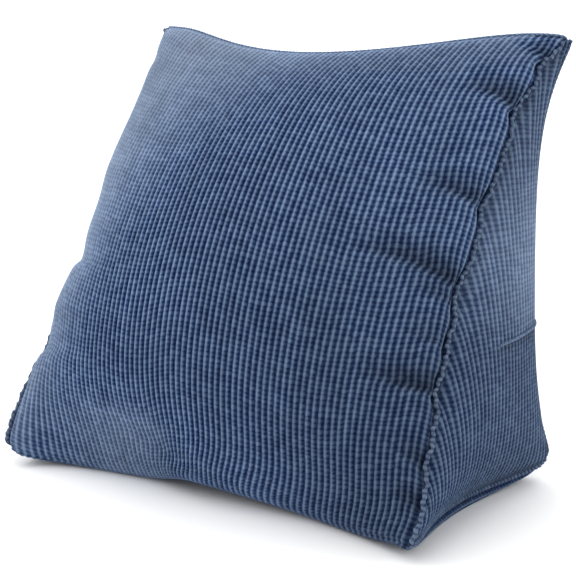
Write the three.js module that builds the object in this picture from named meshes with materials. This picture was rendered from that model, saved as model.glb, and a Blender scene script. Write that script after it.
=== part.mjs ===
// Wedge backrest pillow in ribbed corduroy: one filled cushion and the strip that covers its opening.
// Millimetres, +Z up. X runs across the width, Y from the front to the back.
import * as THREE from 'three';

// Cut size of the cover, measured between its corner ears.
const WIDTH = 450;
const HEIGHT = 400;
const DEPTH = 250;
const EAR_LIFT = 5;

// How far the filling pulls each seam in at its middle.
const FRONT_SEAM_PULL = 38;
const BACK_SEAM_PULL = 12;
const TOP_SEAM_PULL = 16;
const TOP_SEAM_DIP = 30;
const SLANT_SEAM_PULL = 24;
const UPRIGHT_SEAM_PULL = 16;
const FLOOR_SEAM_PULL = 4;
const FLOOR_SEAM_LIFT = 6;

// The pull is strongest nearer one end of these seams: powers of the way along them.
const TOP_DIP_LEAN = 0.72;
const SLANT_PULL_LEAN = 1.32;
const SLANT_PULL_POWER = 2.4;
const UPRIGHT_PULL_LEAN = 1.18;

// How far each panel swells past the flat cloth, and how squarely it does so.
const FACE_CROWN = 106;
const BACK_CROWN = 52;
const SIDE_CROWN = 9;
const CROWN_POWER_ACROSS = 0.73;
const CROWN_POWER_ALONG = 0.88;
const SIDE_CROWN_POWER = 0.6;
const BASE_SAG = 60;
const BASE_SAG_POWER = 0.6;

// Corduroy ribs, raised on every panel but the base.
const RIB_COUNT_ACROSS = 76;
const RIB_COUNT_SIDE = 41;
const RIB_RELIEF = 1.1;
const RIB_FADE = 6;

// Short troughs that run from the side seams into the face.
const PUCKERS = [
  { along: 0.29, depth: 5.0, reach: 105, halfWidth: 10 },
  { along: 0.5, depth: 5.5, reach: 70, halfWidth: 9 },
  { along: 0.65, depth: 4.5, reach: 55, halfWidth: 9 },
  { along: 0.83, depth: 6.0, reach: 75, halfWidth: 9 },
];

// Rows of points up the face and down the back; the face has three at each pucker.
const FACE_ROWS = [
  0, 0.04, 0.1, 0.18, 0.25, 0.29, 0.33, 0.4, 0.46, 0.5, 0.54, 0.61, 0.65, 0.69, 0.79, 0.83, 0.87,
  0.95, 1,
];
const BACK_ROWS = [1, 0.95, 0.84, 0.68, 0.52, 0.35, 0.2, 0.06, 0];
const BASE_ROWS = [0.94, 0.06];
const SIDE_ROWS = 7;
const SIDE_FRONT_EDGE = 0.05;
const SIDE_BACK_EDGE = 0.985;
const SEAM_INSET = 3;

// Strip of cloth over the opening, round the back and part of both sides.
const STRIP_HEIGHT = 140;
const STRIP_WIDTH = 10;
const STRIP_THICKNESS = 1.8;
const STRIP_GAP = 1.0;
const STRIP_SIDE_START = 0.6;
const STRIP_SIDE_END = 0.995;
const STRIP_SIDE_STEPS = 14;
const STRIP_BACK_STEPS = 44;

const CORDUROY_BLUE = 0x4c5d79;
const STRIP_BLUE = 0x56688a;

// Small vector helpers on [x, y, z] arrays.
const mix = (a, b, t) => a.map((value, axis) => value + (b[axis] - value) * t);
const plus = (a, b, scale = 1) => a.map((value, axis) => value + b[axis] * scale);
const cross = (a, b) => [
  a[1] * b[2] - a[2] * b[1],
  a[2] * b[0] - a[0] * b[2],
  a[0] * b[1] - a[1] * b[0],
];
const unit = (a) => a.map((value) => value / Math.hypot(...a));
const distance = (a, b) => Math.hypot(...plus(a, b, -1));
const mirrored = ([x, y, z]) => [-x, y, z];

// 1 in the middle of a stretch from 0 to 1 and 0 at its ends.
const arch = (t, power = 2) => 1 - Math.abs(2 * t - 1) ** power;

const FRONT_EAR = [WIDTH / 2, -DEPTH / 2, EAR_LIFT];
const BACK_EAR = [WIDTH / 2, DEPTH / 2, EAR_LIFT];
const TOP_EAR = [WIDTH / 2, DEPTH / 2, HEIGHT];

// Seams across the width, from the left ear (0) to the right ear (1).
const frontSeam = (u) => plus(mix(mirrored(FRONT_EAR), FRONT_EAR, u), [0, FRONT_SEAM_PULL * arch(u), 0]);
const backSeam = (u) => plus(mix(mirrored(BACK_EAR), BACK_EAR, u), [0, -BACK_SEAM_PULL * arch(u), 0]);
const topSeam = (u) =>
  plus(mix(mirrored(TOP_EAR), TOP_EAR, u), [
    0,
    -TOP_SEAM_PULL * arch(u),
    -TOP_SEAM_DIP * arch(u ** TOP_DIP_LEAN),
  ]);

// Seams of the right side panel, each from its lower or front ear (0) to the other (1).
const slantSeam = (v) => {
  const pull = arch(v ** SLANT_PULL_LEAN, SLANT_PULL_POWER);
  return plus(mix(FRONT_EAR, TOP_EAR, v), [-SLANT_SEAM_PULL * pull, 0, 0]);
};
const uprightSeam = (v) => {
  const pull = arch(v ** UPRIGHT_PULL_LEAN);
  return plus(mix(BACK_EAR, TOP_EAR, v), [-UPRIGHT_SEAM_PULL * pull, -BACK_SEAM_PULL * pull, 0]);
};
const floorSeam = (w) =>
  plus(mix(FRONT_EAR, BACK_EAR, w), [-FLOOR_SEAM_PULL * arch(w), 0, FLOOR_SEAM_LIFT * arch(w)]);

// Surface stretched between four seams: across the width (u) and along the panel (v).
function stretched(lowSeam, highSeam, rightSeam, u, v) {
  const along = mix(lowSeam(u), highSeam(u), v);
  const across = mix(mirrored(rightSeam(v)), rightSeam(v), u);
  const low = mix(lowSeam(0), lowSeam(1), u);
  const high = mix(highSeam(0), highSeam(1), u);
  return plus(plus(along, across), mix(low, high, v), -1);
}

// Share of a panel's full swell at a point of it.
const swell = (u, v) => arch(u) ** CROWN_POWER_ACROSS * arch(v) ** CROWN_POWER_ALONG;

const SLANT_LENGTH = Math.hypot(HEIGHT - EAR_LIFT, DEPTH);
const SLANT_OUT = [0, -(HEIGHT - EAR_LIFT) / SLANT_LENGTH, DEPTH / SLANT_LENGTH];

// Depth of the puckers at a point of the face, deepest part way in from the nearer side seam.
function puckerDepth(u, v) {
  const inward = Math.min(u, 1 - u) * WIDTH;
  let depth = 0;
  for (const pucker of PUCKERS) {
    const offLine = ((v - pucker.along) * SLANT_LENGTH) / pucker.halfWidth;
    const way = Math.min(1, inward / pucker.reach);
    depth += pucker.depth * Math.exp(-offLine * offLine) * Math.sin(Math.PI * Math.sqrt(way));
  }
  return depth;
}

function facePoint(u, v) {
  const flat = stretched(frontSeam, topSeam, slantSeam, u, v);
  return plus(flat, SLANT_OUT, FACE_CROWN * swell(u, v) - puckerDepth(u, v));
}

function backPoint(u, v) {
  const flat = stretched(backSeam, topSeam, uprightSeam, u, v);
  return plus(flat, [0, 1, 0], BACK_CROWN * swell(u, v));
}

// The base would sag below the floor, so it lies flat on it there.
function basePoint(u, w) {
  const [x, y, z] = stretched(frontSeam, backSeam, floorSeam, u, w);
  return [x, y, Math.max(0, z - BASE_SAG * (arch(u) * arch(w)) ** BASE_SAG_POWER)];
}

// Right side panel: from the front ear to the upright seam (w), and from the floor up (h).
function sidePoint(w, h) {
  const ruled = mix(floorSeam(w), slantSeam(w), h);
  const upright = plus(uprightSeam(h), mix(BACK_EAR, TOP_EAR, h), -1);
  const bulge = 27 * (1 - w) * w * (1 - h) * w * h;
  return plus(plus(ruled, upright, w ** 3), [SIDE_CROWN * bulge ** SIDE_CROWN_POWER, 0, 0]);
}

// Places along a row that part its true length evenly, so that the ribs keep one pitch.
function evenPlaces(rowPoint, count) {
  const samples = 3 * count;
  const lengths = [0];
  let previous = rowPoint(0);
  for (let step = 1; step <= samples; step++) {
    const next = rowPoint(step / samples);
    lengths.push(lengths[step - 1] + distance(previous, next));
    previous = next;
  }
  const places = [0];
  let step = 1;
  for (let column = 1; column < count; column++) {
    const wanted = (lengths[samples] * column) / count;
    while (lengths[step] < wanted) step++;
    const part = (wanted - lengths[step - 1]) / (lengths[step] - lengths[step - 1]);
    places.push((step - 1 + part) / samples);
  }
  places.push(1);
  return places;
}

// A panel's point, raised on a rib's ridge (odd columns) or sunk in a groove (even ones).
function ribbed(panel, across, along, column, fade) {
  const nudge = 0.002;
  const point = panel(across, along);
  const aside = plus(panel(across + nudge, along), panel(across - nudge, along), -1);
  const ahead = plus(panel(across, along + nudge), panel(across, along - nudge), -1);
  const height = (column % 2 ? 0.5 : -0.5) * RIB_RELIEF * fade;
  return plus(point, unit(cross(aside, ahead)), height);
}

// Triangles between two rows of point numbers that run side by side.
function zip(rowA, rowB, triangles) {
  let a = 0;
  let b = 0;
  while (a < rowA.length - 1 || b < rowB.length - 1) {
    const nextA = (a + 1) / (rowA.length - 1);
    const nextB = (b + 1) / (rowB.length - 1);
    if (b === rowB.length - 1 || (a < rowA.length - 1 && nextA <= nextB)) {
      triangles.push([rowA[a], rowA[a + 1], rowB[b]]);
      a++;
    } else {
      triangles.push([rowA[a], rowB[b + 1], rowB[b]]);
      b++;
    }
  }
}

function solid(points, triangles) {
  const geometry = new THREE.BufferGeometry();
  geometry.setAttribute('position', new THREE.Float32BufferAttribute(points.flat(), 3));
  geometry.setIndex(triangles.flat());
  geometry.computeVertexNormals();
  return geometry;
}

// The face, back and base: loops round the wedge, one at each rib's ridge and groove.
function addWrap(points, triangles) {
  const columns = 2 * RIB_COUNT_ACROSS;
  const rows = [
    ...FACE_ROWS.map((v) => ({ panel: facePoint, along: v, relief: 1 })),
    ...BACK_ROWS.slice(1).map((v) => ({ panel: backPoint, along: v, relief: -1 })),
    ...BASE_ROWS.map((w) => ({ panel: basePoint, along: w, relief: 0 })),
  ];
  const loops = Array.from({ length: columns + 1 }, () => []);
  for (const { panel, along, relief } of rows) {
    const places = evenPlaces((u) => panel(u, along), columns);
    const seamFade = Math.min(1, RIB_FADE * arch(along));
    places.forEach((u, column) => {
      const atSide = column === 0 || column === columns;
      const plain = relief === 0 || atSide || seamFade === 0;
      const point = plain ? panel(u, along) : ribbed(panel, u, along, column, relief * seamFade);
      loops[column].push(points.length);
      points.push(point);
    });
  }
  for (let column = 0; column < columns; column++) {
    for (let row = 0; row < rows.length; row++) {
      const next = (row + 1) % rows.length;
      const [a, b] = [loops[column][row], loops[column + 1][row]];
      const [c, d] = [loops[column + 1][next], loops[column][next]];
      triangles.push([a, b, c], [a, c, d]);
    }
  }
  return { left: loops[0], right: loops[columns] };
}

// One side panel, sewn to the end loop of the wrap.
function addSide(points, triangles, endLoop, isRight) {
  const columns = 2 * RIB_COUNT_SIDE;
  const grid = [];
  for (let column = 0; column <= columns; column++) {
    const w = SIDE_FRONT_EDGE + ((SIDE_BACK_EDGE - SIDE_FRONT_EDGE) * column) / columns;
    const inset = SEAM_INSET / distance(floorSeam(w), slantSeam(w));
    const line = [];
    for (let row = 0; row <= SIDE_ROWS; row++) {
      const h = inset + ((1 - 2 * inset) * row) / SIDE_ROWS;
      const point = ribbed(sidePoint, w, h, column, 1);
      line.push(points.length);
      points.push(isRight ? point : mirrored(point));
    }
    grid.push(line);
  }
  const own = [];
  for (let column = 0; column < columns; column++) {
    for (let row = 0; row < SIDE_ROWS; row++) {
      const [a, b] = [grid[column][row], grid[column + 1][row]];
      const [c, d] = [grid[column + 1][row + 1], grid[column][row + 1]];
      own.push([a, b, c], [a, c, d]);
    }
  }
  const top = FACE_ROWS.length - 1;
  const back = top + BACK_ROWS.length - 1;
  const lastLine = grid[columns];
  zip(grid.map((line) => line[SIDE_ROWS]), endLoop.slice(0, top + 1), own);
  zip([...lastLine].reverse(), endLoop.slice(top, back + 1), own);
  zip(grid.map((line) => line[0]).reverse(), [...endLoop.slice(back), endLoop[0]], own);
  zip(grid[0], [endLoop[0]], own);
  const outward = isRight ? own : own.map(([a, b, c]) => [a, c, b]);
  triangles.push(...outward);
}

function makeCushion() {
  const points = [];
  const triangles = [];
  const ends = addWrap(points, triangles);
  addSide(points, triangles, ends.right, true);
  addSide(points, triangles, ends.left, false);
  return solid(points, triangles);
}

// Where a panel reaches a height, found by halving the stretch that holds it.
function placeAtHeight(pointAt, height) {
  let low = 0;
  let high = 1;
  for (let step = 0; step < 30; step++) {
    const middle = (low + high) / 2;
    if (pointAt(middle)[2] < height) low = middle;
    else high = middle;
  }
  return pointAt((low + high) / 2);
}

// Points of the cover at one height, from the right side round the back to the left side.
function coverLine(height) {
  const side = [];
  for (let step = 0; step <= STRIP_SIDE_STEPS; step++) {
    const w = STRIP_SIDE_START + ((STRIP_SIDE_END - STRIP_SIDE_START) * step) / STRIP_SIDE_STEPS;
    side.push(placeAtHeight((h) => sidePoint(w, h), height));
  }
  const back = [];
  for (let step = 1; step < STRIP_BACK_STEPS; step++) {
    const u = 0.5 + 0.5 * Math.cos((Math.PI * step) / STRIP_BACK_STEPS);
    back.push(placeAtHeight((v) => backPoint(u, v), height));
  }
  return [...side, ...back, ...side.map(mirrored).reverse()];
}

// The same line moved outward, level, square to its own run.
function movedOut(line, amount) {
  return line.map((point, index) => {
    const before = line[Math.max(0, index - 1)];
    const after = line[Math.min(line.length - 1, index + 1)];
    const run = unit(plus(after, before, -1));
    return plus(point, unit([run[1], -run[0], 0]), amount);
  });
}

// The strip is a band with a lower, middle and upper line on its inner and outer faces.
function makeStrip() {
  const heights = [-0.5, 0, 0.5].map((share) => STRIP_HEIGHT + share * STRIP_WIDTH);
  const lines = heights.map(coverLine);
  const inner = lines.map((line) => movedOut(line, STRIP_GAP + RIB_RELIEF / 2));
  const outer = lines.map((line) => movedOut(line, STRIP_GAP + RIB_RELIEF / 2 + STRIP_THICKNESS));
  const section = [...inner, ...outer.reverse()];
  const length = section[0].length;
  const points = section.flat();
  const triangles = [];
  const at = (ring, index) => (ring % section.length) * length + index;
  for (let ring = 0; ring < section.length; ring++) {
    for (let index = 0; index < length - 1; index++) {
      const [a, b] = [at(ring, index), at(ring + 1, index)];
      const [c, d] = [at(ring + 1, index + 1), at(ring, index + 1)];
      triangles.push([a, b, c], [a, c, d]);
    }
  }
  for (const [index, turn] of [[0, -1], [length - 1, 1]]) {
    for (const [i, j, k] of [[0, 1, 4], [0, 4, 5], [1, 2, 3], [1, 3, 4]]) {
      const triangle = [at(i, index), at(j, index), at(k, index)];
      triangles.push(turn > 0 ? triangle : triangle.reverse());
    }
  }
  return solid(points, triangles);
}

function piece(name, geometry, color, roughness) {
  const material = new THREE.MeshStandardMaterial({ color, roughness, metalness: 0 });
  const mesh = new THREE.Mesh(geometry, material);
  mesh.name = name;
  return mesh;
}

const pillow = new THREE.Group();
pillow.add(piece('cushion', makeCushion(), CORDUROY_BLUE, 0.95));
pillow.add(piece('closure_strip', makeStrip(), STRIP_BLUE, 0.95));

// The origin is under the middle of the whole pillow.
const box = new THREE.Box3().setFromObject(pillow);
pillow.position.y = -(box.min.y + box.max.y) / 2;

export default pillow;
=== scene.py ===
# %% [markdown]
# # A wedge backrest pillow in ribbed corduroy
#
# The real object is a sewn cover over loose filling: a slanting face, a back, a base and two
# triangular side panels. The filling swells every panel and pulls the seams in between the
# corner ears. The solids in the frame hold the same form with few faces. Here it is worked out
# again, from sizes fitted more closely, on grids fine enough to carry every rib of the cloth.

# %% Load the frame
import math

import bpy
import numpy as np
from mathutils import Matrix, Vector


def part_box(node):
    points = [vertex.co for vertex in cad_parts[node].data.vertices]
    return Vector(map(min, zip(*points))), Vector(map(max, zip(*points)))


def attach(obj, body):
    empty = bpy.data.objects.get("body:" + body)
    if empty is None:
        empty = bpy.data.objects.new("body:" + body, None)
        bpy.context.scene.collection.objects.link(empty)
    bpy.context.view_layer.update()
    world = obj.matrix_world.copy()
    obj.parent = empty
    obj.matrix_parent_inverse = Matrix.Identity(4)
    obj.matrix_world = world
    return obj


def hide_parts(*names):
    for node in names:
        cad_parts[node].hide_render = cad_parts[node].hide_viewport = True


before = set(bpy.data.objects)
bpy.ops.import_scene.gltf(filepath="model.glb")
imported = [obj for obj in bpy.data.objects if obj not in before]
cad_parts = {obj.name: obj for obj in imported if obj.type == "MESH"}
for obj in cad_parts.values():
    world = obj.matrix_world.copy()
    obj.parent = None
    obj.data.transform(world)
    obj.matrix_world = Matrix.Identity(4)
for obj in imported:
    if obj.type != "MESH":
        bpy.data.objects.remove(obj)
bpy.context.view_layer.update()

MM = 0.001

# %% [markdown]
# ## Sizes
#
# All shape work is done in millimetres in the cover's own frame: X across the width, Y from the
# front to the back, Z up, with the floor at zero and the cover's middle at X = Y = 0. The ears
# are the corners of the sewn cover. The pulls say how far the filling draws each seam in at its
# middle, and the crowns say how far each panel swells past flat cloth. They could be hidden in
# a sculpted mesh, but named sizes let the pillow be made wider, fuller or slacker from here.

# %% Sizes of the cover
WIDTH, HEIGHT, DEPTH, EAR_LIFT = 450.0, 400.0, 250.0, 5.0

FRONT_PULL, FRONT_DROP, FRONT_LEAN = 48.5, 5.0, -0.40
BACK_PULL = 31.0
TOP_PULL, TOP_DIP, TOP_LEAN = 45.0, 37.0, 0.50
SLANT_PULL, SLANT_LEAN, SLANT_POWER = 30.0, -0.64, 2.8
UPRIGHT_PULL_IN, UPRIGHT_PULL_FORWARD, UPRIGHT_POWER = 29.0, 10.0, 2.9
FLOOR_PULL, FLOOR_LIFT = 32.5, 6.5

FACE_CROWN, BACK_CROWN, SIDE_CROWN, BASE_SAG = 92.5, 65.0, 38.0, 60.0
FACE_POWER_ACROSS, FACE_POWER_FOOT = 0.55, 0.46
FACE_POWER_LOW, FACE_POWER_HIGH = 0.64, 0.81
BACK_POWER_ACROSS, BACK_POWER_ALONG, BASE_POWER = 0.73, 0.88, 0.6
SIDE_RISE_SLANT, SIDE_RISE_FLOOR, SIDE_RISE_BACK = 38.0, 28.0, 26.5
BASE_ROLL, BASE_ROLL_REACH = 9.0, 29.0
ROLL_POWER, ROLL_END_POWER, ROLL_FALL_POWER = 0.7, 0.5, 1.5

FRONT_EAR = np.array([WIDTH / 2, -DEPTH / 2, EAR_LIFT])
BACK_EAR = np.array([WIDTH / 2, DEPTH / 2, EAR_LIFT])
TOP_EAR = np.array([WIDTH / 2, DEPTH / 2, HEIGHT])
FRONT_MIDDLE = np.array([WIDTH / 20, FRONT_PULL - DEPTH / 2, EAR_LIFT])
MIRROR, SAME = np.array([-1.0, 1.0, 1.0]), np.array([1.0, 1.0, 1.0])
SLANT = TOP_EAR - FRONT_EAR
SLANT_LENGTH = np.linalg.norm(SLANT)
SLANT_OUT = np.array([0.0, -SLANT[2], SLANT[1]]) / SLANT_LENGTH
print("the face is", round(SLANT_LENGTH), "mm from its bottom seam to its top seam")

# %% Blunt ears, and pushes that make the filling uneven
# At: a corner of the right side. Out: the direction in which its ear points.
EARS = [
    dict(at=FRONT_EAR, out=(1.0, -1.5, -0.85)),
    dict(at=TOP_EAR, out=(1.0, 0.55, 1.85)),
    dict(at=BACK_EAR, out=(1.0, 1.0, -1.0)),
]
BLUNT, BLUNT_REACH, EAR_REACH = 11.0, 60.0, 53

# At: a place on the cover. Reach: how far the push is felt. Shift: the push itself, in mm.
PUSHES = [
    dict(at=FRONT_EAR * MIRROR, reach=EAR_REACH, shift=(24.5, -19.0, 9.5)),
    dict(at=FRONT_EAR, reach=EAR_REACH, shift=(2.0, 7.0, 13.0)),
    dict(at=TOP_EAR * MIRROR, reach=EAR_REACH, shift=(9.0, -3.5, -20.0)),
    dict(at=TOP_EAR, reach=EAR_REACH, shift=(0.0, 3.0, -4.0)),
    dict(at=BACK_EAR * MIRROR, reach=EAR_REACH, shift=(0.5, -2.5, 8.5)),
    dict(at=BACK_EAR, reach=EAR_REACH, shift=(-0.5, -2.5, 8.5)),
    dict(at=FRONT_EAR, reach=24, shift=(-8.0, -3.0, -8.0)),
    dict(at=FRONT_MIDDLE, reach=60, shift=(-32.0, -22.0, 14.0)),
]


def pushed(points):
    """The ears are blunt: a point near one moves back along the ear's direction by
    BLUNT * exp(way beyond / BLUNT). Then each push fades with the squared distance from its
    place, as exp(-(distance / reach) ** 2). Nothing goes below the floor."""
    moved = points.copy()
    for side in (MIRROR, SAME):
        for ear in EARS:
            out = np.array(ear["out"]) * side / np.linalg.norm(ear["out"])
            gap = moved - ear["at"] * side
            near = np.exp(-(np.linalg.norm(gap, axis=-1) / BLUNT_REACH) ** 2)
            back_off = BLUNT * np.exp(np.minimum(gap @ out, 0) / BLUNT) * near
            moved = moved - back_off[..., None] * out
    for push in PUSHES:
        gap = np.linalg.norm(points - push["at"], axis=-1, keepdims=True)
        moved += np.exp(-(gap / push["reach"]) ** 2) * np.array(push["shift"], float)
    moved[..., 2] = np.maximum(moved[..., 2], 0)
    return moved


print("pushes:", len(PUSHES), "and blunt ears:", 2 * len(EARS))

# %% [markdown]
# ## Seams
#
# On the real cover a seam is a straight cut edge that the filling draws inward. A cloth
# simulation could find its curve, but a formula keeps the fitted size and gives the same seam
# in each run. So each seam is a straight line between two ears plus a pull towards the filling.
# The pull is an arch: nothing at the ears and most near the middle. A lean moves its top
# towards one end, because a filled cover is never quite even.

# %% Seams as functions
def arch(t, power=2.0):
    """One in the middle of 0..1 and zero at both ends: 1 - |2t - 1| ** power."""
    return np.clip(1 - np.abs(2 * np.clip(t, 0, 1) - 1) ** power, 0, 1)


def leaned(t, lean):
    """The way t along a seam, hurried (lean above zero) or held back: t + lean * t * (1 - t)."""
    return t + lean * t * (1 - t)


def line(start, end, t, pull_x=0.0, pull_y=0.0, pull_z=0.0):
    """Straight line from start to end at t, plus a shift along each axis."""
    t = np.asarray(t, float)
    shift = np.stack(np.broadcast_arrays(t * 0 + pull_x, t * 0 + pull_y, t * 0 + pull_z), -1)
    return start + (end - start) * t[..., None] + shift


def front_seam(u):
    """Face to base, from left to right: pulled back by a leaned arch and down by a plain one."""
    pull = arch(leaned(u, FRONT_LEAN))
    return line(FRONT_EAR * MIRROR, FRONT_EAR, u, 0, FRONT_PULL * pull, -FRONT_DROP * arch(u))


def back_seam(u):
    """Back to base, from left to right: pulled forward by an arch."""
    return line(BACK_EAR * MIRROR, BACK_EAR, u, 0, -BACK_PULL * arch(u), 0)


def top_seam(u):
    """Face to back, from left to right: pulled forward by an arch and down by a leaned one."""
    dip = TOP_DIP * arch(leaned(u, TOP_LEAN))
    return line(TOP_EAR * MIRROR, TOP_EAR, u, 0, -TOP_PULL * arch(u), -dip)


def slant_seam(v):
    """Face to right side panel, from the foot up: pulled in by a broad leaned arch."""
    return line(FRONT_EAR, TOP_EAR, v, -SLANT_PULL * arch(leaned(v, SLANT_LEAN), SLANT_POWER))


def upright_seam(v):
    """Back to right side panel, from the foot up: pulled in and forward by a broad arch."""
    pull = arch(v, UPRIGHT_POWER)
    return line(BACK_EAR, TOP_EAR, v, -UPRIGHT_PULL_IN * pull, -UPRIGHT_PULL_FORWARD * pull)


def floor_seam(w):
    """Base to right side panel, from the front back: pulled in and a little up by an arch."""
    return line(FRONT_EAR, BACK_EAR, w, -FLOOR_PULL * arch(w), 0, FLOOR_LIFT * arch(w))


print("the slant seam's middle is pulled in to x =", slant_seam(np.array(0.5))[0].round(1), "mm")

# %% [markdown]
# ## Panels
#
# Each panel of the cover is a flat piece of cloth that the filling blows up. It could be a cage
# smoothed by subdivision, but a function of two parameters can be read off at any fineness. So
# a panel is a surface stretched between its four seams and moved outward by its swell. The
# swell is the product of two arches, each raised to a power below one, which makes it steep
# beside the seams and broad in the middle, as stuffed cloth is.

# %% Face, back and base as functions of two parameters
def stretched(low, high, side, u, v):
    """Coons surface: the blend of the low and high seams, plus the blend of the side seam and
    its mirror image, less the plain blend of the four corners."""
    along = low(u) * (1 - v)[..., None] + high(u) * v[..., None]
    right = side(v)
    across = right * MIRROR * (1 - u)[..., None] + right * u[..., None]
    zero, one = np.array(0.0), np.array(1.0)
    low_line = low(zero) * (1 - u)[..., None] + low(one) * u[..., None]
    high_line = high(zero) * (1 - u)[..., None] + high(one) * u[..., None]
    return along + across - low_line * (1 - v)[..., None] - high_line * v[..., None]


def face_point(u, v):
    """The face's swell is arch(u) ** a * v ** low * (1 - v) ** high, scaled so that its peak is
    the crown. The power a grows as (1 - v) ** 3, which leaves the front corners flatter."""
    across = arch(u) ** (FACE_POWER_ACROSS + FACE_POWER_FOOT * (1 - v) ** 3)
    peak = FACE_POWER_LOW / (FACE_POWER_LOW + FACE_POWER_HIGH)
    scale = peak ** FACE_POWER_LOW * (1 - peak) ** FACE_POWER_HIGH
    along = v ** FACE_POWER_LOW * (1 - v) ** FACE_POWER_HIGH / scale
    flat = stretched(front_seam, top_seam, slant_seam, u, v)
    return pushed(flat + SLANT_OUT * (FACE_CROWN * across * along)[..., None])


def back_point(u, v):
    """The back's swell is crown * arch(u) ** across * arch(v) ** along, straight back."""
    flat = stretched(back_seam, top_seam, upright_seam, u, v)
    swell = arch(u) ** BACK_POWER_ACROSS * arch(v) ** BACK_POWER_ALONG
    return pushed(flat + np.array([0, 1, 0]) * (BACK_CROWN * swell)[..., None])


def base_point(u, w):
    """The base leaves the side seams in a roll, outward by sin(pi * way ** power), and the rest
    would sag below the floor, so its height is cut off there at zero."""
    point = stretched(front_seam, back_seam, floor_seam, u, w)
    way = np.clip(np.minimum(u, 1 - u) * WIDTH / BASE_ROLL_REACH, 0, 1)
    roll = BASE_ROLL * np.sin(np.pi * way ** ROLL_POWER) * arch(w) ** ROLL_END_POWER
    point[..., 0] += np.sign(u - 0.5) * roll
    sag = BASE_SAG * (arch(u) * arch(w)) ** BASE_POWER * way
    point[..., 2] = np.maximum(0, point[..., 2] * (1 - way) ** ROLL_FALL_POWER - sag)
    return pushed(point)


middle = np.array(0.5)
print("the face's middle is at", face_point(middle, middle).round(), "mm")

# %% The side panel as a function of two parameters
def side_point(w, h, side=1):
    """Side panel: straight lines from the floor seam up to the slant seam, bent to meet the
    upright seam. Its swell rises from each seam as 1 - exp(-distance / rise), and the three are
    multiplied. Side is 1 for the right panel and -1 for its mirror image."""
    low, high = floor_seam(w), slant_seam(w)
    tall = np.linalg.norm(high - low, axis=-1)
    upright = upright_seam(h) - line(BACK_EAR, TOP_EAR, h)
    to_slant = (1 - h) * tall * DEPTH / SLANT_LENGTH
    swell = 1 - np.exp(-to_slant / SIDE_RISE_SLANT)
    swell = swell * (1 - np.exp(-h * tall / SIDE_RISE_FLOOR))
    swell = swell * (1 - np.exp(-(1 - w) * DEPTH / SIDE_RISE_BACK))
    flat = low * (1 - h)[..., None] + high * h[..., None] + upright * (w ** 3)[..., None]
    return pushed((flat + np.array([SIDE_CROWN, 0, 0]) * swell[..., None]) * [side, 1, 1])


print("the side panel's middle is at", side_point(middle, middle).round(), "mm")

# %% [markdown]
# ## Ribs, valleys and puckers
#
# The cloth is wide corduroy: round ribs 6 mm apart that run up the face and stand upright on the
# sides. A bump map could draw them, but here they are real relief in the mesh, because they
# break up the outline and catch the light. Beside each seam the cloth dips into a valley, and
# short puckers run from the slant seams into the face, where spare cloth gathers.

# %% Ribs and the valleys beside the seams
RIBS_ACROSS, RIBS_SIDE, STEPS_PER_RIB = 76, 41, 8
RIB_RELIEF, SIDE_RELIEF, RIB_POWER = 1.9, 0.9, 1.7
RIB_FADE, END_FADE, FLOOR_FADE = 4.0, 18.0, 4.0
VALLEY_DEPTH, VALLEY_PLACE, VALLEY_WIDTH = 4.2, 2.6, 2.2
END_VALLEY, SIDE_VALLEY = 0.4, 0.3


def rib(count):
    """Rib height from 0 in a groove to 1 on a ridge: |sin(pi * count)| ** power."""
    return np.abs(np.sin(np.pi * count)) ** RIB_POWER


def ramp(x, start, end):
    """Zero at start, one at end, straight between them and level beyond them."""
    return np.clip((x - start) / (end - start), 0, 1)


def valley(distance):
    """Depth of the valley that runs beside a seam: deepest at its place, a little way in."""
    return -VALLEY_DEPTH * np.exp(-((distance - VALLEY_PLACE) / VALLEY_WIDTH) ** 2)


print("ribs on the face:", RIBS_ACROSS, "and each flat", round(WIDTH / RIBS_ACROSS, 2), "mm wide")

# %% Puckers at the slant seams
PUCKER_BEND, PUCKER_OPENING, SLOPE_ABOVE, SLOPE_BELOW = 25.0, 4.0, 2.4, 0.85

# Side: 1 right, -1 left. Along: place on the slant seam. Depth, reach and half width in mm.
# Climb: how far the crease has risen at its inner end. A negative depth is a swell.
PUCKERS = [
    dict(side=1, along=0.085, depth=3.0, reach=40, half=5.0, climb=3),
    dict(side=1, along=0.170, depth=4.0, reach=36, half=5.0, climb=2),
    dict(side=1, along=0.305, depth=7.0, reach=84, half=5.5, climb=-11),
    dict(side=1, along=0.383, depth=3.5, reach=40, half=5.0, climb=-4),
    dict(side=1, along=0.455, depth=4.0, reach=44, half=4.5, climb=5),
    dict(side=1, along=0.487, depth=7.5, reach=112, half=6.0, climb=10),
    dict(side=1, along=0.638, depth=6.5, reach=64, half=5.5, climb=9),
    dict(side=1, along=0.825, depth=8.5, reach=66, half=6.5, climb=21),
    dict(side=1, along=0.925, depth=7.0, reach=48, half=5.5, climb=30),
    dict(side=-1, along=0.225, depth=5.0, reach=120, half=9.0, climb=0),
    dict(side=-1, along=0.310, depth=-5.0, reach=120, half=14.0, climb=0),
    dict(side=-1, along=0.410, depth=6.5, reach=120, half=8.0, climb=0),
    dict(side=-1, along=0.600, depth=-5.0, reach=120, half=26.0, climb=0),
    dict(side=-1, along=0.860, depth=2.0, reach=110, half=9.0, climb=0),
]
RIGHT_PUCKERS = [p for p in PUCKERS if p["side"] > 0]


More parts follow.
